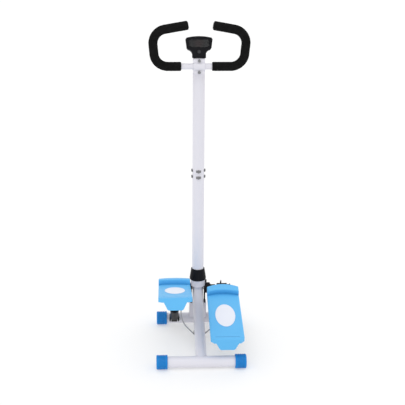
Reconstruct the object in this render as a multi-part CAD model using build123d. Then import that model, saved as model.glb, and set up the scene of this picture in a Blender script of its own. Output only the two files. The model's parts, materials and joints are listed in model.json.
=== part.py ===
from build123d import *
import os
from math import cos, radians, sin, tan

# Twin-pedal stepper with a post and a handlebar. Millimetres, +Z up, +Y away from the user, towards the post.
# The origin is on the floor, midway between the two crossbars.

# --- driving dimensions -----------------------------------------------------------------------------------
SIDES = {"left": -1, "right": 1}

WALL = 2.0  # steel tube wall
BAR_R, BAR_HALF = 20.5, 157.0  # crossbars, and the main tube's radius
CAP_R, CAP_LENGTH, CAP_OVERHANG = 26.0, 40.5, 6.5
CAP_FLAT = 0.5  # how far the flat is cut into the cap's underside
BAR_Z = CAP_R - CAP_FLAT
RIBS, GROOVE, GROOVE_DEPTH = 24, 2.2, 1.3  # the caps' square pattern
FOOT_ARC = 12.0  # half angle of the cap's underside that has no grooves, degrees
BASE = 368.0  # crossbar to crossbar
REAR_Y, FRONT_Y = -BASE / 2, BASE / 2
POST_Y = FRONT_Y - 14.0

SPINE_SLOPE = 14.0  # rise of the main tube's straight run, degrees
SPINE_BEND = 80.0

PIVOT_Z = 162.0
AXLE_R, AXLE_HALF = 6.0, 139.0
SHAFT_GAP = 0.05  # radial running clearance of a shaft
CHEEK_X, CHEEK_T = 24.0, 5.0
UPRIGHT_HALF_X, UPRIGHT_HALF_Y, UPRIGHT_TOP = 33.0, 18.0, 104.0

SOCKET_R, SOCKET_BOTTOM, SOCKET_TOP, SOCKET_BOLT = 28.5, 175.0, 200.5, 191.5
NECK_R, NECK_TOP = 24.6, 230.5  # thin upper part of the socket, inside the collar
COLLAR_R, COLLAR_RIM, COLLAR_TOP = 32.0, 26.0, 247.0
POLE_R, POLE_JOINT, POLE_TOP = 22.5, 635.0, 1076.0
SLEEVE_HALF = 60.0
SCREW_ROWS = (623.0, 647.0)

PEDAL_X = 93.6  # centre plane of a pedal
REST_TILT = {"left": 14.5, "right": -9.5}  # heel-up angle of each pedal at rest
HUB_X0, HUB_X1, SLEEVE_R = 51.0, 126.0, 9.5  # pedal arm's cross sleeve
BOSS_R, BOSS_LENGTH, BUSH_R, BUSH_LENGTH = 13.0, 18.0, 8.0, 16.0  # its thick ends, and the bushes in them
STUD_X, STUD_R, STUD_TOP = 90.5, 3.0, 34.0

DECK_HALF, DECK_TOE, DECK_HEEL, DECK_H = 60.75, 84.0, 382.0, 28.0
SHELL_WALL, SKIRT, DECK_BEVEL = 3.0, 17.6, (7.0, 2.0)  # the bevel runs in from the edge, then down
LIP_MID, LIP_SIDE, LIP_H = 86.0, 98.0, 48.0  # face of the toe stop
TOE_MID, TOE_SIDE = 47.0, 66.0  # its far side
TONGUE_WIDE, TONGUE_NARROW, TONGUE_DROP = 82.0, 52.0, 46.0
OVAL_X, OVAL_U, OVAL_CENTRE, OVAL_T = 37.0, 70.5, 232.0, 0.8
ARM_HALF, ARM_LOW, ARM_HIGH = 20.0, 2.0, DECK_H - SHELL_WALL
ARM_TOE, ARM_END = 7.0, 330.0
SCREW_U = (125.0, 210.0, 300.0)

PIN_U, PIN_H, PIN_R = 160.0, -18.0, 5.0  # damper's upper pin, in the pedal's frame
FOOT_Y, FOOT_Z = POST_Y - 30.0, BAR_Z + 17.0  # damper's lower pin
EAR_X, EAR_T = (-19.0, 14.0), 5.0  # plates each side of a damper's eye
DAMPER_R, DAMPER_BORE, DAMPER_TOP = 16.0, 13.0, 105.0
ROD_R, ROD_LENGTH, EYE_R, EYE_HALF = 6.0, 111.0, 12.0, 11.5
OPEN_EYE_GAP = 1.5  # radial play in the rod's upper eye, where the closed linkage is opened

LUG_U, LUG_X, LUG_H = 150.0, 67.5, 6.0  # cable lug on the arm
PULLEY_Y, PULLEY_Z, PULLEY_R, GROOVE_R = 34.0, 34.0, 20.0, 15.5
CABLE_R = 2.4
CABLE_DROP = {"left": ((71, 22, 118), (60, 30, 74), (36, 34, 44)),
              "right": ((63, 33, 75), (50, 34, 54), (33, 34, 37))}  # from under the arm to the pulley

GRIP_Y, GRIP_Z, GRIP_LEAN = POST_Y - 35.0, 1047.5, 8.0  # handlebar axis, and its lean towards the user
GRIP_TUBE_R, GRIP_WALL, FOAM_R = 11.0, 1.5, 16.5
GRIP_CORNERS = ((159.5, 0.0), (170.0, 128.5))  # lower and upper corner of the bar's centre line
GRIP_TIPS = {"left": (42.0, 151.5), "right": (50.0, 150.5)}
GRIP_BENDS = (50.0, 52.0)
FOAM_START = {"left": 65.5, "right": 46.5}  # where each sleeve's lower run begins
CLAMP_HALF, CLAMP_FLANGE, CLAMP_BOLT = 21.0, 27.0, 21.0

HEAD_TILT, HEAD_FRONT, HEAD_SPLIT, HEAD_BACK = 15.0, -24.0, -14.0, 6.0
HEAD_NECK, HEAD_LOW, HEAD_HIGH = 24.8, 45.0, 49.0  # half widths, from the bottom up
NECK_FOOT, NECK_END, SHOULDER_MID, SHOULDER_END = -20.0, 9.0, 19.0, 25.0  # heights up the head
BODY_LOW, BODY_HIGH, CORNER, CROWN = 31.0, 62.0, 67.0, 72.5
HEAD_WALL = 2.5
WINDOW_U, WINDOW_WIDE, WINDOW_HIGH, WINDOW_R = 46.5, 72.0, 27.0, 8.0
BUTTON_U, BUTTON_R = 16.0, 6.0

UP = (Align.CENTER, Align.CENTER, Align.MIN)


# --- helpers ----------------------------------------------------------------------------------------------
def save(node, *pieces):
    """Write one node, which is one solid or a group of separate solids."""
    solids = [solid for piece in pieces for solid in piece.solids()]
    export_step(solids[0] if len(solids) == 1 else Compound(children=solids), f"parts/{node}.step")


def rod_x(r, x0, x1, y, z):
    return Pos(x0, y, z) * Rot(0, 90, 0) * Cylinder(r, x1 - x0, align=UP)


def rod_y(r, y0, y1, x, z):
    return Pos(x, y0, z) * Rot(-90, 0, 0) * Cylinder(r, y1 - y0, align=UP)


def rod_z(r, z0, z1, x=0.0, y=0.0):
    return Pos(x, y, z0) * Cylinder(r, z1 - z0, align=UP)


def tube_x(r, x0, x1, y, z, wall=WALL):
    return rod_x(r, x0, x1, y, z) - rod_x(r - wall, x0, x1, y, z)


def tube_z(r, z0, z1, x=0.0, y=0.0, wall=WALL):
    return rod_z(r, z0, z1, x, y) - rod_z(r - wall, z0, z1, x, y)


def box(x0, x1, y0, y1, z0, z1):
    return Pos((x0 + x1) / 2, (y0 + y1) / 2, (z0 + z1) / 2) * Box(x1 - x0, y1 - y0, z1 - z0)


def side_plate(points, x0, x1):
    """Flat plate between x0 and x1 with the outline (y, z)."""
    outline = Polyline(*[(x0, y, z) for y, z in points], close=True)
    return extrude(make_face(outline), x1 - x0, dir=(1, 0, 0))


def hexagon(across, height):
    return extrude(RegularPolygon(across / 2, 6, major_radius=False), height)


def sweep_round(path, r, r_in=0.0):
    section = Circle(r) - Circle(r_in) if r_in else Circle(r)
    return sweep(Plane(path @ 0, z_dir=path % 0) * section, path=path)


# --- base frame -------------------------------------------------------------------------------------------
def spine_path():
    """Gently rising run from the rear crossbar, bent up to stand under the post."""
    corner = BAR_Z + tan(radians(SPINE_SLOPE)) * BASE
    top = corner + SPINE_BEND * tan(radians(90 - SPINE_SLOPE) / 2) + 0.5
    points = ((0, REAR_Y, BAR_Z), (0, POST_Y, corner), (0, POST_Y, top))
    return FilletPolyline(*points, radius=SPINE_BEND), top


def cap(sign, y):
    """End cap that is also a foot: grooved both ways, flat and plain underneath."""
    outer_x = BAR_HALF + CAP_OVERHANG
    body = rod_x(CAP_R, outer_x - CAP_LENGTH, outer_x, 0, BAR_Z)
    body = fillet(body.edges().filter_by(GeomType.CIRCLE).sort_by(Axis.X)[-1], 4)
    body = chamfer(body.edges().filter_by(GeomType.CIRCLE).sort_by(Axis.X)[0], 1.2)
    body -= rod_x(BAR_R, outer_x - CAP_LENGTH, BAR_HALF, 0, BAR_Z)
    middle = outer_x - CAP_LENGTH / 2
    for k in range(RIBS):
        turn = (k + 0.5) * 360 / RIBS
        if abs(turn - 180) > FOOT_ARC:
            slot = Pos(middle, 0, CAP_R) * Box(CAP_LENGTH - 14, GROOVE, 2 * GROOVE_DEPTH)
            body -= Pos(0, 0, BAR_Z) * Rot(turn, 0, 0) * slot
    underside = box(0, 2 * outer_x, -CAP_R * sin(radians(FOOT_ARC)), CAP_R * sin(radians(FOOT_ARC)), 0, BAR_Z)
    for x in (-32, -25, -18, -11):
        ring = rod_x(CAP_R + 1, outer_x + x, outer_x + x + GROOVE, 0, BAR_Z)
        body -= ring - rod_x(CAP_R - GROOVE_DEPTH, outer_x + x, outer_x + x + GROOVE, 0, BAR_Z) - underside
    body -= box(0, 2 * outer_x, -CAP_R, CAP_R, -5, 0)
    placed = Pos(0, y, 0) * body
    return placed if sign > 0 else mirror(placed, Plane.YZ)


def upright_block(inset):
    """Box that leans from the front crossbar back to the cheeks, drawn in by inset."""
    foot, top, half = BAR_Z + 2 - 2 * inset, UPRIGHT_TOP - inset, UPRIGHT_HALF_Y - inset
    outline = ((FRONT_Y - half, foot), (FRONT_Y + half, foot), (POST_Y + half, top), (POST_Y - half, top))
    return side_plate(outline, inset - UPRIGHT_HALF_X, UPRIGHT_HALF_X - inset)


def make_base():
    path, spine_top = spine_path()
    spine_outer = sweep_round(path, BAR_R)
    rear_bar = tube_x(BAR_R, -BAR_HALF, BAR_HALF, REAR_Y, BAR_Z)
    front_bar = tube_x(BAR_R, -BAR_HALF, BAR_HALF, FRONT_Y, BAR_Z)
    save("rear_crossbar", rear_bar)
    save("front_crossbar", front_bar)

    axle = rod_x(AXLE_R, -AXLE_HALF, AXLE_HALF, POST_Y, PIVOT_Z)
    spine = sweep_round(path, BAR_R, BAR_R - WALL) - rod_x(BAR_R, -BAR_HALF, BAR_HALF, REAR_Y, BAR_Z)
    save("main_tube", spine - axle)
    save("pivot_axle", axle)

    upright = upright_block(0) - upright_block(3)
    upright -= rod_x(BAR_R, -BAR_HALF, BAR_HALF, FRONT_Y, BAR_Z) + spine_outer
    save("front_upright", upright)

    cheek_y = (POST_Y - UPRIGHT_HALF_Y, POST_Y + UPRIGHT_HALF_Y)
    cheek = box(CHEEK_X, CHEEK_X + CHEEK_T, *cheek_y, UPRIGHT_TOP, SOCKET_BOTTOM)
    cheek = chamfer(cheek.edges().filter_by(Axis.X).group_by(Axis.Z)[-1], 9) - axle
    save("pivot_cheeks", cheek, mirror(cheek, Plane.YZ))

    spacer = rod_x(21, CHEEK_X + CHEEK_T, HUB_X0 - 3, POST_Y, PIVOT_Z)
    spacer = chamfer(spacer.edges().filter_by(GeomType.CIRCLE).sort_by(Axis.X)[-1], 2) - axle
    save("hub_spacers", spacer, mirror(spacer, Plane.YZ))
    nut = Pos(HUB_X1 + 3, POST_Y, PIVOT_Z) * Rot(0, 90, 0) * hexagon(18, 8) - axle
    save("axle_nuts", nut, mirror(nut, Plane.YZ))

    for end, y in (("rear", REAR_Y), ("front", FRONT_Y)):
        for side, sign in SIDES.items():
            save(f"{end}_{side}_cap", cap(sign, y))
    return spine_outer, spine_top


def make_post(spine_outer, spine_top):
    shank = rod_x(4, 0, SOCKET_R + 3, POST_Y, SOCKET_BOLT) - rod_z(POLE_R, 0, 300, 0, POST_Y)
    head = Pos(SOCKET_R, POST_Y, SOCKET_BOLT) * Rot(0, 90, 0) * hexagon(11, 6)
    bolt = shank + head
    socket = rod_z(SOCKET_R, SOCKET_BOTTOM, SOCKET_TOP, 0, POST_Y)
    socket += rod_z(NECK_R, SOCKET_TOP, NECK_TOP, 0, POST_Y)
    socket -= rod_z(POLE_R, spine_top, NECK_TOP, 0, POST_Y) + spine_outer
    save("pole_socket", socket - bolt)
    save("socket_bolt", bolt)

    profile = make_face(Polyline((NECK_R, SOCKET_TOP), (COLLAR_R, SOCKET_TOP), (COLLAR_R, SOCKET_TOP + 8),
                                 (COLLAR_RIM, COLLAR_TOP), (POLE_R, COLLAR_TOP), (POLE_R, NECK_TOP),
                                 (NECK_R, NECK_TOP), close=True))
    collar = revolve(Plane.XZ * profile, Axis.Z)
    for end, r in ((0, 4), (-1, 1)):
        rims = collar.edges().filter_by(GeomType.CIRCLE).group_by(Axis.Z)[end]
        collar = fillet(rims.sort_by(SortBy.RADIUS)[-1], r)
    save("pole_collar", Pos(0, POST_Y, 0) * collar)

    washers, screws = [], []
    for z in SCREW_ROWS:
        for turn in (0, -90, 90):
            place = Pos(0, POST_Y, z) * Rot(0, 0, turn)
            pad = tube_z(POLE_R + 1.6, -4.5, 4.5, wall=1.6) & box(-9.5, 9.5, -30, 0, -5, 5)
            shank = rod_y(3, -POLE_R - 2, 1.5 - POLE_R + 2 * WALL, 0, 0)
            button = rod_y(6, -POLE_R - 4.6, -POLE_R - 1.6, 0, 0)
            button = fillet(button.edges().filter_by(GeomType.CIRCLE).sort_by(Axis.Y)[0], 2)
            socket_hex = Pos(0, -POLE_R - 5, 0) * Rot(-90, 0, 0) * hexagon(4, 2.2)
            screw = button + shank - socket_hex
            washers.append(place * (pad - rod_y(3, -30, 0, 0, 0)))
            screws.append(place * screw)
    holes = Compound(children=[Pos(0, POST_Y, z) * Rot(0, 0, turn) * rod_y(3, -30, 0, 0, 0)
                               for z in SCREW_ROWS for turn in (0, -90, 90)])
    lower = tube_z(POLE_R, spine_top, POLE_JOINT, 0, POST_Y)
    upper = tube_z(POLE_R, POLE_JOINT, POLE_TOP, 0, POST_Y)
    lower = chamfer(lower.edges().group_by(Axis.Z)[-1].sort_by(SortBy.RADIUS)[-1], 0.7)
    upper = chamfer(upper.edges().group_by(Axis.Z)[0].sort_by(SortBy.RADIUS)[-1], 0.7)
    inner = tube_z(POLE_R - WALL, POLE_JOINT - SLEEVE_HALF, POLE_JOINT + SLEEVE_HALF, 0, POST_Y)
    save("lower_pole", lower - holes)
    save("upper_pole", upper - holes)
    save("pole_sleeve", inner - holes)
    save("joint_washers", *washers)
    save("joint_screws", *screws)


# --- pedals, dampers and link cable -----------------------------------------------------------------------
def on_pedal(side, shape):
    """Place a piece that is modelled with its pivot at the origin and its pedal level."""
    return Pos(SIDES[side] * PEDAL_X, POST_Y, PIVOT_Z) * Rot(-REST_TILT[side], 0, 0) * shape


def pedal_point(side, u, h, tilt=None):
    """(y, z) of a point u behind the pivot and h above it, in the pedal's frame."""
    a = radians(REST_TILT[side] if tilt is None else tilt)
    return POST_Y - u * cos(a) + h * sin(a), PIVOT_Z + u * sin(a) + h * cos(a)


def deck_outline(half, toe, heel, corner):
    points = ((-half, -toe), (half, -toe), (half, corner - heel), (half - corner, -heel),
              (corner - half, -heel), (-half, corner - heel))
    return make_face(Polyline(*points, close=True))


def lip_block(inset):
    """Toe stop: a wall across the deck, flat on top and arched towards the toe on both sides."""
    half = DECK_HALF - inset
    near, near_mid = LIP_SIDE - inset, LIP_MID - inset
    far, far_mid = TOE_SIDE + inset, TOE_MID + inset
    outline = ThreePointArc((-half, -far), (0, -far_mid), (half, -far)) + Line((half, -far), (half, -near))
    outline += ThreePointArc((half, -near), (0, -near_mid), (-half, -near))
    outline += Line((-half, -near), (-half, -far))
    low, high = DECK_H - SKIRT - (1 if inset else 0), LIP_H - inset
    return extrude(Plane.XY.offset(low) * make_face(outline), high - low)


def pedal_shell():
    """Moulded deck, open underneath, with the toe stop, the heel skirt and its tongue."""
    low = DECK_H - SKIRT
    deck = extrude(Plane.XY.offset(low) * deck_outline(DECK_HALF, DECK_TOE, DECK_HEEL, 13), SKIRT)
    top = deck.faces().sort_by(Axis.Z)[-1]
    sides_and_heel = top.edges().sort_by(Axis.Y)[:-1]
    deck = chamfer(sides_and_heel, *DECK_BEVEL, reference=top)
    lip = lip_block(0)
    lip = fillet(lip.faces().sort_by(Axis.Z)[-1].edges(), 4.5)
    inner = deck_outline(DECK_HALF - SHELL_WALL, DECK_TOE - 4, DECK_HEEL - SHELL_WALL, 12)
    hollow = extrude(Plane.XY.offset(low - 1) * inner, SKIRT + 1 - SHELL_WALL)
    shell = deck + lip - hollow - lip_block(SHELL_WALL)
    wide, narrow, drop = TONGUE_WIDE / 2, TONGUE_NARROW / 2, DECK_H - TONGUE_DROP
    right_edge = ((wide, low + 5), (wide, low), (narrow + 3, drop + 4), (narrow - 2, drop))
    tongue_points = (*right_edge, *((-x, h) for x, h in reversed(right_edge)))
    tongue_face = make_face(Polyline(*tongue_points, close=True))
    shell += extrude(Plane.XZ.offset(DECK_HEEL - SHELL_WALL) * tongue_face, SHELL_WALL)
    shell -= box(-44, 44, -DECK_HEEL + 17, -DECK_HEEL + 18.4, DECK_H - 0.9, DECK_H + 1)
    arm_notch = box(-ARM_HALF - 2, ARM_HALF + 2, -TOE_MID - 8, -TOE_MID + 1, 0, ARM_HIGH)
    return shell - arm_notch


def pedal_screws():
    screws = []
    for u in SCREW_U:
        head = Pos(0, -u, ARM_LOW - 3) * chamfer(Cylinder(5, 3, align=UP).edges().group_by(Axis.Z)[0], 1)
        screws.append(head + rod_z(2.2, ARM_LOW - 1, DECK_H - 1.2, 0, -u))
    return screws


def pedal_arm(side):
    """Welded arm: cross sleeve, box tube, two ears for the damper's pin, and the cable lug."""
    hub_x = sorted(SIDES[side] * (x - PEDAL_X) for x in (HUB_X0, HUB_X1))
    arm = box(-ARM_HALF, ARM_HALF, -ARM_END, -ARM_TOE, ARM_LOW, ARM_HIGH)
    arm -= box(WALL - ARM_HALF, ARM_HALF - WALL, -ARM_END - 1, -16, ARM_LOW + WALL, ARM_HIGH - WALL)
    arm += rod_x(SLEEVE_R, *hub_x, 0, 0)
    arm += rod_x(BOSS_R, hub_x[0], hub_x[0] + BOSS_LENGTH, 0, 0)
    arm += rod_x(BOSS_R, hub_x[1] - BOSS_LENGTH, hub_x[1], 0, 0)
    for x in EAR_X:
        ear = side_plate(((-PIN_U - 20, ARM_LOW + 1), (-PIN_U - 12, PIN_H), (-PIN_U + 12, PIN_H),
                          (-PIN_U + 20, ARM_LOW + 1)), x, x + EAR_T)
        arm += ear + rod_x(12, x, x + EAR_T, -PIN_U, PIN_H)
    inward = -SIDES[side]
    lug_x = inward * (PEDAL_X - LUG_X)
    lug_box = sorted((inward * (ARM_HALF - 1), lug_x))
    arm += box(*lug_box, -LUG_U - 8, 8 - LUG_U, LUG_H - 3, LUG_H) + rod_z(8, LUG_H - 3, LUG_H, lug_x, -LUG_U)
    arm -= rod_z(3.2, LUG_H - 4, LUG_H + 1, lug_x, -LUG_U)
    arm -= rod_x(AXLE_R + 1, *hub_x, 0, 0) + rod_x(PIN_R, -30, 30, -PIN_U, PIN_H)
    arm -= rod_x(BUSH_R, hub_x[0], hub_x[0] + BUSH_LENGTH, 0, 0)
    arm -= rod_x(BUSH_R, hub_x[1] - BUSH_LENGTH, hub_x[1], 0, 0)
    return arm, hub_x, lug_x


def eye_pin(y, z):
    """Pin through a damper's eye and the plates each side of it, with a head and a ring."""
    return rod_x(PIN_R, -22, 22, y, z) + rod_x(8, 19, 22.5, y, z) + rod_x(7, -21.5, -19, y, z)


def make_pedal(side):
    arm, hub_x, lug_x = pedal_arm(side)
    shell, screws = pedal_shell(), pedal_screws()
    for screw in screws:
        arm, shell = arm - screw, shell - screw
    save(f"{side}_pedal_arm", on_pedal(side, arm))
    save(f"{side}_pedal_shell", on_pedal(side, shell))
    save(f"{side}_pedal_screws", *[on_pedal(side, screw) for screw in screws])

    oval = extrude(Pos(0, -OVAL_CENTRE, DECK_H) * Ellipse(OVAL_X, OVAL_U), OVAL_T)
    save(f"{side}_oval_plate", on_pedal(side, oval))

    bushes = []
    for x, out in zip(hub_x, (-1, 1)):
        flange = rod_x(BOSS_R + 2, *sorted((x, x + out * 2.5)), 0, 0)
        barrel = rod_x(BUSH_R, *sorted((x, x - out * BUSH_LENGTH)), 0, 0)
        bushes.append(on_pedal(side, flange + barrel - rod_x(AXLE_R + SHAFT_GAP, -90, 90, 0, 0)))
    save(f"{side}_hub_bushes", *bushes)

    stud_x = SIDES[side] * (STUD_X - PEDAL_X)
    stud = rod_z(STUD_R, SLEEVE_R - 3, STUD_TOP, stud_x, 0) + Pos(stud_x, 0, SLEEVE_R - 3) * hexagon(10, 8)
    stud = chamfer(stud.edges().group_by(Axis.Z)[-1], 0.8) - rod_x(SLEEVE_R, *hub_x, 0, 0)
    save(f"{side}_hub_stud", on_pedal(side, stud))

    save(f"{side}_rod_pin", on_pedal(side, eye_pin(-PIN_U, PIN_H)))

    ferrule = rod_z(3.2, LUG_H - 12, LUG_H + 2, lug_x, -LUG_U) + rod_z(5.5, LUG_H, LUG_H + 4, lug_x, -LUG_U)
    ferrule += rod_z(4.2, LUG_H - 21, LUG_H - 3, lug_x, -LUG_U)
    save(f"{side}_cable_ferrule", on_pedal(side, ferrule))


def damper_frame(side):
    """Plane at the lower pin with +Z towards the upper pin at rest, and the distance between the pins."""
    y, z = pedal_point(side, PIN_U, PIN_H)
    reach = Vector(0, y - FOOT_Y, z - FOOT_Z)
    return Plane(origin=(SIDES[side] * PEDAL_X, FOOT_Y, FOOT_Z), x_dir=(1, 0, 0), z_dir=reach), reach.length


def make_damper(side):
    place, pins = damper_frame(side)
    body = rod_z(DAMPER_R, 15, DAMPER_TOP) + rod_x(EYE_R, -EYE_HALF, EYE_HALF, 0, 0) + rod_z(8, 8, 16)
    body = chamfer(body.edges().filter_by(GeomType.CIRCLE).filter_by(lambda e: e.radius == DAMPER_R), 1.5)
    body += rod_z(DAMPER_R + 1.5, DAMPER_TOP - 14, DAMPER_TOP - 4)
    body -= rod_z(DAMPER_BORE, 21, DAMPER_TOP - 10) + rod_z(ROD_R + SHAFT_GAP, 21, DAMPER_TOP + 1)
    body -= rod_x(PIN_R + SHAFT_GAP, -20, 20, 0, 0)
    save(f"{side}_damper", place * body)

    foot = pins - EYE_R - ROD_LENGTH
    rod = rod_z(ROD_R, foot, pins - EYE_R + 3) + rod_x(EYE_R, -EYE_HALF, EYE_HALF, 0, pins)
    rod += rod_z(DAMPER_BORE - SHAFT_GAP, foot, foot + 8)
    save(f"{side}_damper_rod", place * (rod - rod_x(PIN_R + OPEN_EYE_GAP, -20, 20, 0, pins)))


def damper_brackets():
    ears, pins = [], []
    outline = ((FOOT_Y, FOOT_Z - 11), (FRONT_Y, BAR_Z - 8), (FRONT_Y, BAR_Z + 19), (FOOT_Y, FOOT_Z + 11))
    for sign in SIDES.values():
        for x in EAR_X:
            ear = side_plate(outline, x, x + EAR_T) + rod_x(11, x, x + EAR_T, FOOT_Y, FOOT_Z)
            ear -= rod_x(BAR_R, -50, 50, FRONT_Y, BAR_Z) + rod_x(PIN_R, -50, 50, FOOT_Y, FOOT_Z)
            ears.append(Pos(sign * PEDAL_X, 0, 0) * ear)
        pins.append(Pos(sign * PEDAL_X, 0, 0) * eye_pin(FOOT_Y, FOOT_Z))
    save("damper_brackets", *ears)
    save("damper_pins", *pins)


def make_pulley(spine_outer):
    wheel = rod_y(PULLEY_R, -7, 7, 0, 0)
    rim = PULLEY_R + 1
    groove = make_face(Polyline((GROOVE_R, -2.6), (rim, -5), (rim, 5), (GROOVE_R, 2.6), close=True))
    wheel -= Rot(-90, 0, 0) * revolve(Plane.XZ * groove, Axis.Z)
    wheel -= rod_y(4 + SHAFT_GAP, -8, 8, 0, 0)
    for k in range(5):
        wheel -= Rot(0, k * 72, 0) * rod_y(2.6, -8, 8, 9.6, 0)
    save("cable_pulley", Pos(0, PULLEY_Y, PULLEY_Z) * wheel)

    bolt = rod_y(4, -14, 13, 0, 0) + Pos(0, -14.5, 0) * Rot(-90, 0, 0) * hexagon(13, 4)
    nut = Pos(0, 10.5, 0) * Rot(-90, 0, 0) * hexagon(13, 5)
    bolt = Pos(0, PULLEY_Y, PULLEY_Z) * (bolt + nut)
    plates = []
    for y in (-10.5, 8.0):
        plate = box(-14, 14, PULLEY_Y + y, PULLEY_Y + y + 2.5, PULLEY_Z, 90)
        plate += rod_y(14, PULLEY_Y + y, PULLEY_Y + y + 2.5, 0, PULLEY_Z)
        plates.append((plate - spine_outer - rod_y(4, 0, 60, 0, PULLEY_Z)).solids().sort_by(Axis.Z)[0])
    save("pulley_bracket", *plates)
    save("pulley_bolt", bolt)


def cable_half(side):
    """Steel rope from the ferrule under the arm, hanging in a long curve and round the pulley's underside."""
    sign = SIDES[side]
    bottom = PULLEY_Z - GROOVE_R - CABLE_R
    points = [(sign * LUG_X, *pedal_point(side, LUG_U, LUG_H - low)) for low in (21, 45)]
    points += [(sign * x, y, z) for x, y, z in CABLE_DROP[side]]
    points += [(sign * 7.5, PULLEY_Y, bottom), (0, PULLEY_Y, bottom)]
    runs = [(Vector(*b) - Vector(*a)) for a, b in zip(points, points[1:])]
    radii = []
    for a, b in zip(runs, runs[1:]):
        turn = radians(a.get_angle(b))
        radii.append(0.45 * min(a.length, b.length) / tan(turn / 2))
    radii[-1] = GROOVE_R
    path = FilletPolyline(*points, radius=radii)
    save(f"{side}_cable", sweep_round(path, CABLE_R))
    print(f"{side}_cable length {path.length:.0f}, radii", [round(r) for r in radii])


# --- handlebar --------------------------------------------------------------------------------------------
def bar_plane():
    lean = radians(GRIP_LEAN)
    return Plane(origin=(0, GRIP_Y, GRIP_Z), x_dir=(1, 0, 0), z_dir=(0, -cos(lean), -sin(lean)))


def half_bar(side, start=()):
    """Corner points of one side of the bar, from its lower run, or from start on it, to its tip."""
    return [(SIDES[side] * x, v) for x, v in (*start, *GRIP_CORNERS, GRIP_TIPS[side])]


def make_handlebar():
    bend_low, bend_high = GRIP_BENDS
    corners = [*reversed(half_bar("left")), *half_bar("right")]
    whole = FilletPolyline(*corners, radius=[bend_high, bend_low, bend_low, bend_high])
    save("handlebar_tube", bar_plane() * sweep_round(whole, GRIP_TUBE_R, GRIP_TUBE_R - GRIP_WALL))
    plugs = []
    for side in SIDES:
        path = FilletPolyline(*half_bar(side, [(FOAM_START[side], 0.0)]), radius=[bend_low, bend_high])
        save(f"{side}_grip", bar_plane() * sweep_round(path, FOAM_R, GRIP_TUBE_R))
        plug = rod_z(GRIP_TUBE_R, 0, 2) + rod_z(GRIP_TUBE_R - GRIP_WALL, -16, 0)
        plugs.append(bar_plane() * Plane(path @ 1, z_dir=path % 1) * plug)
    save("handlebar_plugs", *plugs)


def make_clamp():
    """Seat on the post's near side and a saddle that bolts the bar to it."""
    bar = rod_x(GRIP_TUBE_R + SHAFT_GAP, -60, 60, GRIP_Y, GRIP_Z)
    span_z = (GRIP_Z - CLAMP_FLANGE, GRIP_Z + CLAMP_FLANGE)
    seat = box(-CLAMP_HALF, CLAMP_HALF, GRIP_Y, POST_Y, *span_z) - rod_z(POLE_R, 900, 1200, 0, POST_Y) - bar
    saddle = box(-CLAMP_HALF, CLAMP_HALF, GRIP_Y - 5, GRIP_Y, *span_z)
    saddle = chamfer(saddle.edges().filter_by(Axis.Y), 3)
    saddle += rod_x(GRIP_TUBE_R + 3.5, -CLAMP_HALF, CLAMP_HALF, GRIP_Y, GRIP_Z)
    saddle -= bar + box(-30, 30, GRIP_Y, GRIP_Y + 30, GRIP_Z - 40, GRIP_Z + 40)
    bolts = []
    for z in (GRIP_Z - CLAMP_BOLT, GRIP_Z + CLAMP_BOLT):
        head = Pos(0, GRIP_Y - 10, z) * Rot(-90, 0, 0) * hexagon(10, 5)
        bolt = head + rod_y(3, GRIP_Y - 6, GRIP_Y + 11, 0, z)
        saddle, seat = saddle - bolt, seat - bolt
        bolts.append(bolt)
    save("bar_seat", seat)
    save("bar_saddle", saddle)
    save("saddle_bolts", *bolts)


# --- monitor ----------------------------------------------------------------------------------------------
def head_plane():
    """Tilted plane of the monitor: x across, y up the face, z out of the back."""
    tilt = radians(HEAD_TILT)
    return Plane(origin=(0, POST_Y, POLE_TOP), x_dir=(-1, 0, 0), z_dir=(0, cos(tilt), -sin(tilt)))


def head_outline(inset):
    """Head that narrows through a shoulder into the neck."""
    neck, low, high = HEAD_NECK - inset, HEAD_LOW - inset, HEAD_HIGH - inset
    side = Polyline((neck, NECK_FOOT + inset), (neck, NECK_END + inset))
    shoulder = (low - 4, SHOULDER_END + inset)
    side += ThreePointArc((neck, NECK_END + inset), (neck + 5, SHOULDER_MID + inset), shoulder)
    side += Polyline(shoulder, (low, BODY_LOW + inset), (high, BODY_HIGH - inset))
    side += Polyline((high, BODY_HIGH - inset), (high - 4, CORNER - inset))
    crown = ThreePointArc((high - 4, CORNER - inset), (0, CROWN - inset), (4 - high, CORNER - inset))
    foot = Line((-neck, NECK_FOOT + inset), (neck, NECK_FOOT + inset))
    return make_face(side + crown + mirror(side, Plane.YZ) + foot)


def window_plate(spare, thickness, depth):
    """Rounded plate over the window, larger than it by spare each way, at a depth behind the head's face."""
    outline = RectangleRounded(WINDOW_WIDE + 2 * spare, WINDOW_HIGH + 2 * spare, WINDOW_R)
    return head_plane() * Pos(0, WINDOW_U, HEAD_FRONT + depth) * extrude(outline, thickness)


def head_slab(inset, near, far):
    return extrude(head_plane() * Pos(0, 0, near) * head_outline(inset), far - near, dir=head_plane().z_dir)


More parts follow.
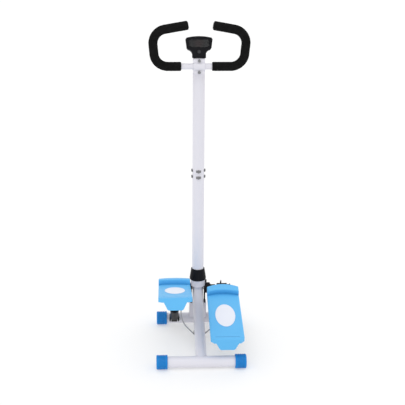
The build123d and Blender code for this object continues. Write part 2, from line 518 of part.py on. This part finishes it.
def make_monitor():
    below = box(-60, 60, POST_Y - 90, POST_Y + 60, POLE_TOP - 90, POLE_TOP)
    place = head_plane()
    button_hole = place * Pos(0, BUTTON_U, HEAD_FRONT) * Cylinder(BUTTON_R + 0.4, 30)

    front = head_slab(0, HEAD_FRONT, HEAD_SPLIT)
    front = chamfer(front.faces().sort_by(Axis.Y)[0].edges(), 1.5)
    front -= head_slab(HEAD_WALL, HEAD_FRONT + HEAD_WALL, HEAD_SPLIT)
    front -= window_plate(0, 6, 0) + button_hole + below
    save("monitor_front", front)

    back = head_slab(0, HEAD_SPLIT, HEAD_BACK)
    back = chamfer(back.faces().sort_by(Axis.Y)[-1].edges(), 3)
    hollow = head_slab(HEAD_WALL, HEAD_SPLIT, HEAD_BACK - HEAD_WALL)
    back -= hollow + below
    base = rod_z(POLE_R + 2, POLE_TOP, POLE_TOP + 5, 0, POST_Y)
    base -= box(-60, 60, 0, POST_Y - 12, POLE_TOP, POLE_TOP + 5)
    back += base - head_slab(0, HEAD_FRONT, HEAD_SPLIT) - hollow
    back += tube_z(POLE_R - WALL, POLE_TOP - 26, POLE_TOP + 2, 0, POST_Y, wall=3)
    door = place * Pos(0, WINDOW_U, HEAD_BACK) * extrude(RectangleRounded(52, 26, 4), 1.6)
    save("monitor_back", back)
    save("battery_door", door)

    save("monitor_lens", window_plate(-0.2, 1.6, 0.6))
    save("display_panel", window_plate(2, 2.2, 2.6))
    button = place * Pos(0, BUTTON_U, HEAD_FRONT - 1.8) * Cylinder(BUTTON_R, 6, align=UP)
    save("monitor_button", button)


def main():
    os.makedirs("parts", exist_ok=True)
    spine_outer, spine_top = make_base()
    make_post(spine_outer, spine_top)
    damper_brackets()
    make_pulley(spine_outer)
    for side in SIDES:
        make_pedal(side)
        make_damper(side)
        cable_half(side)
    make_handlebar()
    make_clamp()
    make_monitor()


main()
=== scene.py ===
import json
from math import cos, pi, radians, sin, tan

import bmesh
import bpy
from mathutils import Matrix, Vector


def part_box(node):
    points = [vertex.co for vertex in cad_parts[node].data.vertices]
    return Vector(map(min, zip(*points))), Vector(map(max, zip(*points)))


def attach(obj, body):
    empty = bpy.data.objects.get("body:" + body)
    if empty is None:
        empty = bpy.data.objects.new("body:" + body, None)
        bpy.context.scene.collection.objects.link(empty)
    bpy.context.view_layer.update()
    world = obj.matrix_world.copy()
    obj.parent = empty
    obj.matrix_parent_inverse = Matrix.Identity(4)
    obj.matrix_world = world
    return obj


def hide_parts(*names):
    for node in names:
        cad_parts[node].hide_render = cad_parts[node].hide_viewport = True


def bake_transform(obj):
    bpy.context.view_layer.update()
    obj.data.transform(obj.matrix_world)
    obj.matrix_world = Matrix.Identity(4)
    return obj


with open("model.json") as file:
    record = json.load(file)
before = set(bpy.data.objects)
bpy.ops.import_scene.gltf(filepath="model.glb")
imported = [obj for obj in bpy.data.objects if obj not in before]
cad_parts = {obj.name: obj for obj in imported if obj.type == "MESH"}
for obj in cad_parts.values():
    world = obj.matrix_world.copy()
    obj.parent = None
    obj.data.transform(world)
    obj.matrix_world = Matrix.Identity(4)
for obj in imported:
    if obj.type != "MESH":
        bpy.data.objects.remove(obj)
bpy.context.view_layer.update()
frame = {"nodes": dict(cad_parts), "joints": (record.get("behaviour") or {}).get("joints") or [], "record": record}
scene = bpy.context.scene
MM = 0.001
SIDES = {"left": -1, "right": 1}


# --- material nodes --------------------------------------------------------------------------------------
BEVEL_SAMPLES, HOLLOW_SAMPLES = 6, 8
EDGE_TURN = (0.995, 0.90)  # how far the rounded normal has turned where an edge's painted highlight and wear starts, and is full
HOLLOW_RANGE = (0.85, 0.35)  # share of open sky where the painted shade of a hollow starts, and is full
NOISE_MIDDLE = (0.3, 0.7)


class Shader:
    """A Principled material and short calls that add the nodes of its finish. Lengths are in millimetres."""

    def __init__(self, name, color, roughness, **sockets):
        self.material = bpy.data.materials.new(name)
        self.material.use_nodes = True
        self.nodes = self.material.node_tree.nodes
        self.links = self.material.node_tree.links
        self.surface = self.nodes["Principled BSDF"]
        self.surface.inputs["Base Color"].default_value = (*color, 1)
        self.surface.inputs["Roughness"].default_value = roughness
        for socket, value in sockets.items():
            self.surface.inputs[socket.replace("_", " ")].default_value = value
        self.color, self.roughness = color, roughness
        self.position = self.nodes.new("ShaderNodeTexCoord").outputs["Object"]
        self.height = None

    def link(self, source, target):
        self.links.new(source, target)

    def noise(self, scale, detail=3.0, rough=0.5):
        node = self.nodes.new("ShaderNodeTexNoise")
        node.inputs["Scale"].default_value = scale
        node.inputs["Detail"].default_value = detail
        node.inputs["Roughness"].default_value = rough
        self.link(self.position, node.inputs["Vector"])
        return node.outputs["Fac"]

    def cells(self, scale):
        node = self.nodes.new("ShaderNodeTexVoronoi")
        node.inputs["Scale"].default_value = scale
        self.link(self.position, node.inputs["Vector"])
        return node.outputs["Distance"]

    def ramp(self, source, low, high, out_low=0.0, out_high=1.0):
        node = self.nodes.new("ShaderNodeMapRange")
        values = {"From Min": low, "From Max": high, "To Min": out_low, "To Max": out_high}
        for socket, value in values.items():
            node.inputs[socket].default_value = value
        self.link(source, node.inputs["Value"])
        return node.outputs["Result"]

    def tint(self, mask, color):
        """Mix the colour so far with another where the mask is high."""
        mix = self.nodes.new("ShaderNodeMix")
        mix.data_type = "RGBA"
        self.link(mask, mix.inputs["Factor"])
        target = self.surface.inputs["Base Color"]
        if target.is_linked:
            self.link(target.links[0].from_socket, mix.inputs["A"])
        else:
            mix.inputs["A"].default_value = (*self.color, 1)
        mix.inputs["B"].default_value = (*color, 1)
        self.link(mix.outputs["Result"], target)
        return self

    def rounded(self, radius_mm, edge_light_and_wear=None, amount=0.5):
        """Round the edges in the shading, and lighten them towards the given edge colour: a painted highlight that
        also stands for wear.
        """
        bevel = self.nodes.new("ShaderNodeBevel")
        bevel.samples = BEVEL_SAMPLES
        bevel.inputs["Radius"].default_value = radius_mm * MM
        self.height = bevel.outputs["Normal"]
        self.link(self.height, self.surface.inputs["Normal"])
        if edge_light_and_wear:
            geometry = self.nodes.new("ShaderNodeNewGeometry")
            turn = self.nodes.new("ShaderNodeVectorMath")
            turn.operation = "DOT_PRODUCT"
            self.link(self.height, turn.inputs[0])
            self.link(geometry.outputs["Normal"], turn.inputs[1])
            # painted highlight: edges lightened by how far the rounded normal turns, standing also for wear
            self.tint(self.ramp(turn.outputs["Value"], *EDGE_TURN, 0, amount), edge_light_and_wear)
        return self

    def painted_hollow_shade(self, reach_mm, color, amount):
        """Painted shade: deepen the colour in corners and hollows, where the surface sees little open sky."""
        shade = self.nodes.new("ShaderNodeAmbientOcclusion")
        shade.samples = HOLLOW_SAMPLES
        shade.inputs["Distance"].default_value = reach_mm * MM
        return self.tint(self.ramp(shade.outputs["AO"], *HOLLOW_RANGE, 0, amount), color)

    def rough(self, mask, low, high):
        """Vary the roughness from low to high over the middle of the mask's range."""
        self.link(self.ramp(mask, *NOISE_MIDDLE, low, high), self.surface.inputs["Roughness"])
        return self

    def bump(self, source, depth_mm, strength):
        node = self.nodes.new("ShaderNodeBump")
        node.inputs["Strength"].default_value = strength
        node.inputs["Distance"].default_value = depth_mm * MM
        self.link(source, node.inputs["Height"])
        if self.height:
            self.link(self.height, node.inputs["Normal"])
        self.height = node.outputs["Normal"]
        self.link(self.height, self.surface.inputs["Normal"])
        return self


BLACK, GREY_BLACK = (0.006, 0.006, 0.008), (0.012, 0.012, 0.014)


def powder_coat(name, color, dirt, specular, edge_light_and_wear):
    """Sprayed and baked paint: fine orange peel, faint cloudiness, and edges painted lighter, a painted highlight
    that also stands for a thinner coat.
    """
    paint = Shader(name, color, 0.36, Coat_Weight=0.1, Coat_Roughness=0.2, Specular_IOR_Level=specular)
    # painted highlight: the edges are lightened towards the given edge colour, standing also for a thinner coat
    paint.rounded(0.8, edge_light_and_wear, 0.4)
    paint.tint(paint.ramp(paint.noise(9, 4), 0.45, 0.8, 0, 0.35), dirt)
    paint.rough(paint.noise(60, 3), 0.30, 0.44)
    return paint.bump(paint.noise(420, 2), 0.06, 0.35)


def moulded(name, color, shade, specular=0.3, edge_light_and_wear=None, grain=900, depth=0.05, roughness=0.45):
    """Moulded plastic with a spark-eroded grain, slight flow marks, and edges that catch the light, partly through
    the rounded shading and partly as a painted highlight where an edge colour is given.
    """
    plastic = Shader(name, color, roughness, Specular_IOR_Level=specular)
    # painted highlight: the edges are lightened towards the given edge colour where one is given, standing also
    # for wear
    plastic.rounded(0.9, edge_light_and_wear)
    plastic.tint(plastic.ramp(plastic.noise(14, 4), 0.42, 0.75, 0, 0.4), shade)
    plastic.rough(plastic.noise(45, 3), roughness - 0.05, roughness + 0.07)
    return plastic.bump(plastic.noise(grain, 2, 0.6), depth, 0.5)


def metal(name, color, roughness, stain, metallic=1.0):
    """Bare or plated steel: faint blotches and an uneven gloss."""
    steel = Shader(name, color, roughness, Metallic=metallic)
    steel.rounded(0.4)
    steel.tint(steel.ramp(steel.cells(260), 0.1, 0.6, 0, 0.4), stain)
    steel.rough(steel.noise(150), roughness * 0.7, roughness * 1.3)
    return steel.bump(steel.noise(900, 2), 0.02, 0.3)


def foam_finish():
    """Closed-cell foam sleeve: open pores, soft blotches, almost no gloss."""
    foam = Shader("foam_sleeve", (0.005, 0.005, 0.005), 0.9, Specular_IOR_Level=0.06)
    foam.tint(foam.ramp(foam.noise(70, 5), 0.4, 0.75, 0, 0.7), (0.012, 0.012, 0.012))
    foam.tint(foam.ramp(foam.cells(620), 0.45, 0.75, 0, 0.5), (0.016, 0.016, 0.016))
    return foam.bump(foam.cells(620), 0.35, 0.6).bump(foam.noise(160, 3), 0.25, 0.4)


def smoked_lens():
    """Tinted window over the display."""
    lens = Shader("smoked_window", (0.015, 0.015, 0.017), 0.08, Alpha=0.45, Coat_Weight=0.3)
    return lens.rough(lens.noise(80), 0.06, 0.11)


def painted_slots():
    """White and black powder coat."""
    # painted highlight: each coat's last colour lightens its edges, standing also for wear
    white = powder_coat("white_powder_coat", (0.73, 0.72, 0.78), (0.69, 0.68, 0.75), 0.35, (0.88, 0.88, 0.92))
    black = powder_coat("black_powder_coat", BLACK, GREY_BLACK, 0.1, (0.03, 0.03, 0.033))
    # painted shade: the white coat is darkened to a grey blue in corners and hollows within 10 mm
    return {"white_paint": white.painted_hollow_shade(10, (0.55, 0.54, 0.60), 0.5), "black_paint": black}


def plastic_slots():
    """Everything moulded: treads, end caps, plates, collar, head, pulley and button."""
    # painted highlight: the lighter blue given for the tread's edges, and the lighter edge colours of the caps and
    # black plastic below, standing also for wear
    deck = moulded("sky_blue_plastic", (0.115, 0.47, 0.85), (0.125, 0.49, 0.87), edge_light_and_wear=(0.26, 0.62, 0.92))
    return {
        # painted shade: the tread is darkened to a deep blue in hollows within 30 mm, fullest at the foot of the
        # toe lip
        "blue_deck": deck.painted_hollow_shade(30, (0.02, 0.24, 0.55), 1.0),
        "blue_cap": moulded("blue_cap_rubber", (0.006, 0.21, 0.60), (0.012, 0.26, 0.66), 0.25,
                            edge_light_and_wear=(0.06, 0.36, 0.78), grain=600, depth=0.07),
        "oval_white": moulded("oval_plate_white", (0.80, 0.82, 0.90), (0.77, 0.79, 0.88),
                              grain=1400, depth=0.02, roughness=0.35),
        "black_plastic": moulded("black_grained_plastic", BLACK, GREY_BLACK, 0.12,
                                 edge_light_and_wear=(0.02, 0.02, 0.022), grain=800, depth=0.07, roughness=0.5),
        "pulley_nylon": moulded("nylon_sheave", (0.03, 0.03, 0.033), (0.05, 0.05, 0.055),
                                grain=500, depth=0.03, roughness=0.42),
        "button_grey": moulded("button_rubber", (0.035, 0.035, 0.038), (0.05, 0.05, 0.053),
                               grain=1200, depth=0.03, roughness=0.5),
    }


def metal_slots():
    """Plated, blackened and chromed steel, and the rope."""
    return {
        "zinc_steel": metal("zinc_plate", (0.58, 0.58, 0.60), 0.32, (0.45, 0.45, 0.44)),
        "dark_zinc": metal("dull_zinc_plate", (0.27, 0.27, 0.28), 0.36, (0.18, 0.18, 0.185)),
        "black_screw": metal("black_oxide", (0.02, 0.02, 0.022), 0.38, (0.035, 0.033, 0.03), metallic=0.7),
        "chrome_rod": metal("hard_chrome", (0.78, 0.78, 0.80), 0.10, (0.70, 0.70, 0.72)),
        "cable_steel": metal("steel_rope", (0.44, 0.44, 0.46), 0.42, (0.30, 0.30, 0.31), metallic=0.3),
    }


def make_materials():
    """The finish of each slot."""
    shaders = {**painted_slots(), **plastic_slots(), **metal_slots()}
    shaders.update(foam=foam_finish(), smoked_lens=smoked_lens(), display_grey=display_finish())
    return {slot: shader.material for slot, shader in shaders.items()}


def display_finish():
    """Unlit liquid-crystal glass: dark grey, reddish brown in the middle, with a fine grain."""
    glass = Shader("display_field", (0.040, 0.040, 0.042), 0.3, Specular_IOR_Level=0.3)
    low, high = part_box("display_panel")
    middle = (low + high) / 2
    distance = glass.nodes.new("ShaderNodeVectorMath")
    distance.operation = "DISTANCE"
    distance.inputs[1].default_value = middle
    glass.link(glass.position, distance.inputs[0])
    glass.tint(glass.ramp(distance.outputs["Value"], 0.022, 0.006, 0, 0.9), (0.11, 0.030, 0.032))
    return glass.rough(glass.noise(200), 0.25, 0.36).bump(glass.noise(1500, 2), 0.01, 0.3)


def paint_frame(materials):
    """Give every CAD node the finish of its slot."""
    slots = {row["node"]: row["material_slot"] for row in frame["record"]["subparts"]}
    for name, node in frame["nodes"].items():
        node.data.materials.clear()
        node.data.materials.append(materials[slots[name]])


# --- swept pieces ----------------------------------------------------------------------------------------
def frames_along(points):
    """A tangent, a normal and a side vector at each point, turned as little as possible between points."""
    out, normal = [], None
    for k, point in enumerate(points):
        tangent = (points[min(k + 1, len(points) - 1)] - points[max(k - 1, 0)]).normalized()
        if normal is None:
            normal = tangent.orthogonal().normalized()
        normal = (normal - tangent * normal.dot(tangent)).normalized()
        out.append((tangent, normal, tangent.cross(normal)))
    return out


def sweep(name, points, radius, sides=32, bore=0.0, closed=False):
    """Mesh rod along points, or a sleeve if it has a bore, or a ring if closed.

    radius(k, angle) gives the outline of ring k, in metres.
    """
    mesh = bmesh.new()
    outer, inner = [], []
    turns = [2 * pi * j / sides for j in range(sides)]
    for k, (point, (_, normal, side)) in enumerate(zip(points, frames_along(points))):
        spokes = [normal * cos(turn) + side * sin(turn) for turn in turns]
        rim = [point + spoke * radius(k, turn) for spoke, turn in zip(spokes, turns)]
        outer.append([mesh.verts.new(place) for place in rim])
        if bore:
            inner.append([mesh.verts.new(point + spoke * bore) for spoke in spokes])
    rings = outer + inner[::-1]
    pairs = list(zip(rings, rings[1:])) + ([(rings[-1], rings[0])] if closed or bore else [])
    for a, b in pairs:
        for j in range(sides):
            mesh.faces.new((a[j], a[(j + 1) % sides], b[(j + 1) % sides], b[j]))
    if not (closed or bore):
        mesh.faces.new(rings[0][::-1])
        mesh.faces.new(rings[-1])
    bmesh.ops.recalc_face_normals(mesh, faces=mesh.faces)
    return finish_mesh(name, mesh)


SHARP_ANGLE = radians(50)


def finish_mesh(name, mesh):
    data = bpy.data.meshes.new(name)
    mesh.to_mesh(data)
    mesh.free()
    data.set_sharp_from_angle(angle=SHARP_ANGLE)
    piece = bpy.data.objects.new(name, data)
    scene.collection.objects.link(piece)
    return piece


def dress(piece, materials, slot, body=None):
    """Give a new piece its finish, and the body that it moves with if one is given."""
    piece.data.materials.append(materials[slot])
    if body:
        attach(piece, body)
    return piece


# --- foam grips ------------------------------------------------------------------------------------------
BAR_LEAN = radians(8)
BAR_CORNERS = ((159.5, 0.0), (170.0, 128.5))  # in the handlebar's plane, across and up
BAR_TIPS = {"left": (42.0, 151.5), "right": (50.0, 150.5)}
BAR_BENDS = (50.0, 52.0)
FOAM_START = {"left": 65.5, "right": 46.5}
FOAM_R, FOAM_BORE, FOAM_STEP = 16.4, 11.0, 2.0
END_ROUND, END_DROP = 5.0, 1.8  # how far from its end a sleeve rounds off, and by how much


def bar_point(x, v):
    """Point of the handlebar's plane in the row frame."""
    tilt = next(j for j in frame["joints"] if j["name"] == "handlebar_tilt")
    return Vector(tilt["pos_m"]) + MM * Vector((x, -v * sin(BAR_LEAN), v * cos(BAR_LEAN)))


def bent_line(corners, bends, step):
    """Points along straight runs joined by arcs, about step apart."""
    corners = [Vector(c) for c in corners]
    line = [corners[0]]
    for k in range(1, len(corners) - 1):
        before = (corners[k] - corners[k - 1]).normalized()
        after = (corners[k + 1] - corners[k]).normalized()
        turn = before.angle_signed(after)
        cut = bends[k - 1] * tan(abs(turn) / 2)
        start = corners[k] - before * cut
        straight = (start - line[-1]).length
        line += [line[-1].lerp(start, t / (straight / step)) for t in range(1, int(straight / step))]
        side = 1 if turn < 0 else -1
        centre = start + Vector((-before.y, before.x)) * bends[k - 1] * side
        steps = max(2, int(bends[k - 1] * abs(turn) / step))
        for t in range(steps + 1):
            line.append(centre + Matrix.Rotation(abs(turn) * side * t / steps, 2) @ (start - centre))
    last = (corners[-1] - line[-1]).length
    line += [line[-1].lerp(corners[-1], t / int(last / step)) for t in range(1, int(last / step) + 1)]
    return line


def make_grip(side, materials):
    """Foam sleeve with rounded ends and a slightly uneven skin."""
    corners = [(FOAM_START[side], 0.0), *BAR_CORNERS, BAR_TIPS[side]]
    line = [bar_point(SIDES[side] * p.x, p.y) for p in bent_line(corners, BAR_BENDS, FOAM_STEP)]
    last = len(line) - 1

    def radius(k, angle):
        edge = min(k, last - k) * FOAM_STEP
        round_off = END_DROP * max(0.0, 1 - edge / END_ROUND) ** 2
        wave = 0.12 * sin(k * 0.9 + 2 * sin(angle * 2)) + 0.08 * sin(k * 0.23 + angle * 3)
        return MM * (FOAM_R - round_off + wave)

    piece = sweep(f"{side}_foam_grip", line, radius, 48, MM * FOAM_BORE)
    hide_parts(f"{side}_grip")
    return dress(piece, materials, "foam", "handlebar")


# --- link cable ------------------------------------------------------------------------------------------
CABLE_ROUTES = {  # from the ferrule under each arm to the pulley's underside, millimetres
    "left": ((-67.5, 21, 185), (-67.5, 15, 162), (-71, 22, 118), (-60, 30, 74), (-36, 34, 44),
             (-7.5, 34, 16.1), (0, 34, 16.1)),
    "right": ((67.5, 24.5, 122.4), (67.5, 28.5, 98.8), (63, 33, 75), (50, 34, 54), (33, 34, 37),
              (7.5, 34, 16.1), (0, 34, 16.1)),
}
STRANDS, LAY = 6, 0.9
ROPE_CORE, STRAND_BULGE = 2.15, 0.25


def spline_points(route):
    """Points along the smooth NURBS line through a route."""
    curve = bpy.data.curves.new("route", "CURVE")
    curve.dimensions = "3D"
    curve.resolution_u = 16
    spline = curve.splines.new("NURBS")
    spline.points.add(len(route) - 1)
    for knot, place in zip(spline.points, route):
        knot.co = (*(MM * Vector(place)), 1)
    spline.order_u = 3
    spline.use_endpoint_u = True
    holder = bpy.data.objects.new("route", curve)
    scene.collection.objects.link(holder)
    bpy.context.view_layer.update()
    mesh = bpy.data.meshes.new_from_object(holder.evaluated_get(bpy.context.evaluated_depsgraph_get()))
    line = [v.co.copy() for v in mesh.vertices]
    bpy.data.objects.remove(holder)
    return line


def make_cable(side, materials):
    """Laid rope from the ferrule under its arm to the pulley's underside, attached to no body."""
    line = spline_points(CABLE_ROUTES[side])

    def radius(k, angle):
        return MM * (ROPE_CORE + STRAND_BULGE * abs(cos(STRANDS / 2 * (angle + k * LAY / STRANDS))))

    piece = sweep(f"{side}_link_cable", line, radius, 36)
    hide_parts(f"{side}_cable")
    dress(piece, materials, "cable_steel")
    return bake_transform(piece)


# --- weld beads ------------------------------------------------------------------------------------------
SPINE_SLOPE = radians(14)
BEAD_R, BEAD_RIPPLE, RIPPLE_TURN = 1.9, 0.3, 0.9
SADDLE_STEPS, STRAIGHT_STEPS = 150, 44
SADDLE_LIFT = 0.004  # keeps the saddle's bead clear of the tube's top and bottom lines
UPRIGHT_WELDS = (("near", -19.3, 7.0), ("far", 16.4, 12.3))  # name, and place from the crossbar's middle


def bead(name, line, closed, materials):
    """Ripple of a weld along a line, under the white paint."""
    def radius(k, _):
        return MM * (BEAD_R + BEAD_RIPPLE * sin(k * RIPPLE_TURN))

    piece = sweep(name, line, radius, 12, closed=closed)
    return dress(piece, materials, "white_paint", "frame")


def middle_of(node):
    low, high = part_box(node)
    return (low + high) / 2, low, high


def make_welds(materials):
    across, away = Vector((1, 0, 0)), Vector((0, 1, 0))
    turns = [2 * pi * k / SADDLE_STEPS for k in range(SADDLE_STEPS)]

    centre, low, high = middle_of("rear_crossbar")
    r = (high.z - low.z) / 2
    along = Vector((0, cos(SPINE_SLOPE), sin(SPINE_SLOPE)))
    up = Vector((0, -sin(SPINE_SLOPE), cos(SPINE_SLOPE)))
    saddle = [up * cos(t) + across * sin(t) + along * (sin(t) ** 2 + SADDLE_LIFT) ** 0.5 for t in turns]
    bead("rear_weld", [centre + r * place for place in saddle], True, materials)

    centre, low, _ = middle_of("pole_socket")
    foot = Vector((0, centre.y, low.z))
    collar = [foot + (r + MM) * (across * cos(t) + away * sin(t)) for t in turns]
    bead("socket_weld", collar, True, materials)

    centre = middle_of("front_crossbar")[0]
    _, low, high = middle_of("front_upright")
    for name, back, rise in UPRIGHT_WELDS:
        xs = [low.x + (high.x - low.x) * k / STRAIGHT_STEPS for k in range(STRAIGHT_STEPS + 1)]
        line = [Vector((x, centre.y + MM * back, centre.z + MM * rise)) for x in xs]
        bead(f"upright_weld_{name}", line, False, materials)


# --- studio ----------------------------------------------------------------------------------------------
FLOOR_HALF = 40  # metres


def make_studio():
    """A pale floor, an even white surround and one soft light from the front."""
    corners = [(x * FLOOR_HALF, y * FLOOR_HALF, 0) for x, y in ((-1, -1), (1, -1), (1, 1), (-1, 1))]
    floor = bpy.data.meshes.new("studio_floor")
    floor.from_pydata(corners, [], [(0, 1, 2, 3)])
    plane = bpy.data.objects.new("studio_floor", floor)
    pale = Shader("studio_floor", (0.60, 0.60, 0.60), 0.8, Specular_IOR_Level=0.1)
    pale.surface.inputs["Emission Color"].default_value = (1, 1, 1, 1)
    pale.surface.inputs["Emission Strength"].default_value = 0.38
    floor.materials.append(pale.material)
    scene.collection.objects.link(plane)

    world = bpy.data.worlds.new("studio")
    scene.world = world
    world.use_nodes = True
    background = world.node_tree.nodes["Background"]
    background.inputs["Color"].default_value = (1, 1, 1, 1)
    background.inputs["Strength"].default_value = 0.97
    light = bpy.data.lights.new("softbox", "SUN")
    light.energy, light.angle = 0.45, radians(40)
    softbox = bpy.data.objects.new("softbox", light)
    softbox.rotation_euler = (radians(27), radians(-10), 0)
    scene.collection.objects.link(softbox)


def make_camera():
    """The matched viewpoint, with its slight roll."""
    camera = bpy.data.cameras.new("camera")
    camera.sensor_width, camera.lens = 36, 79.4
    holder = bpy.data.objects.new("camera", camera)
    holder.location = (-0.135, -3.081, 1.600)
    turn, pitch, roll = radians(-2.67), radians(71.6), radians(0.39)
    level = Matrix.Rotation(turn, 3, "Z") @ Matrix.Rotation(pitch, 3, "X")
    holder.rotation_euler = (level @ Matrix.Rotation(roll, 3, "Z")).to_euler()
    scene.collection.objects.link(holder)
    scene.camera = holder


def main():
    scene.view_settings.view_transform = "Standard"
    make_camera()
    make_studio()
    materials = make_materials()
    paint_frame(materials)
    make_welds(materials)
    for side in SIDES:
        make_grip(side, materials)
        make_cable(side, materials)


main()
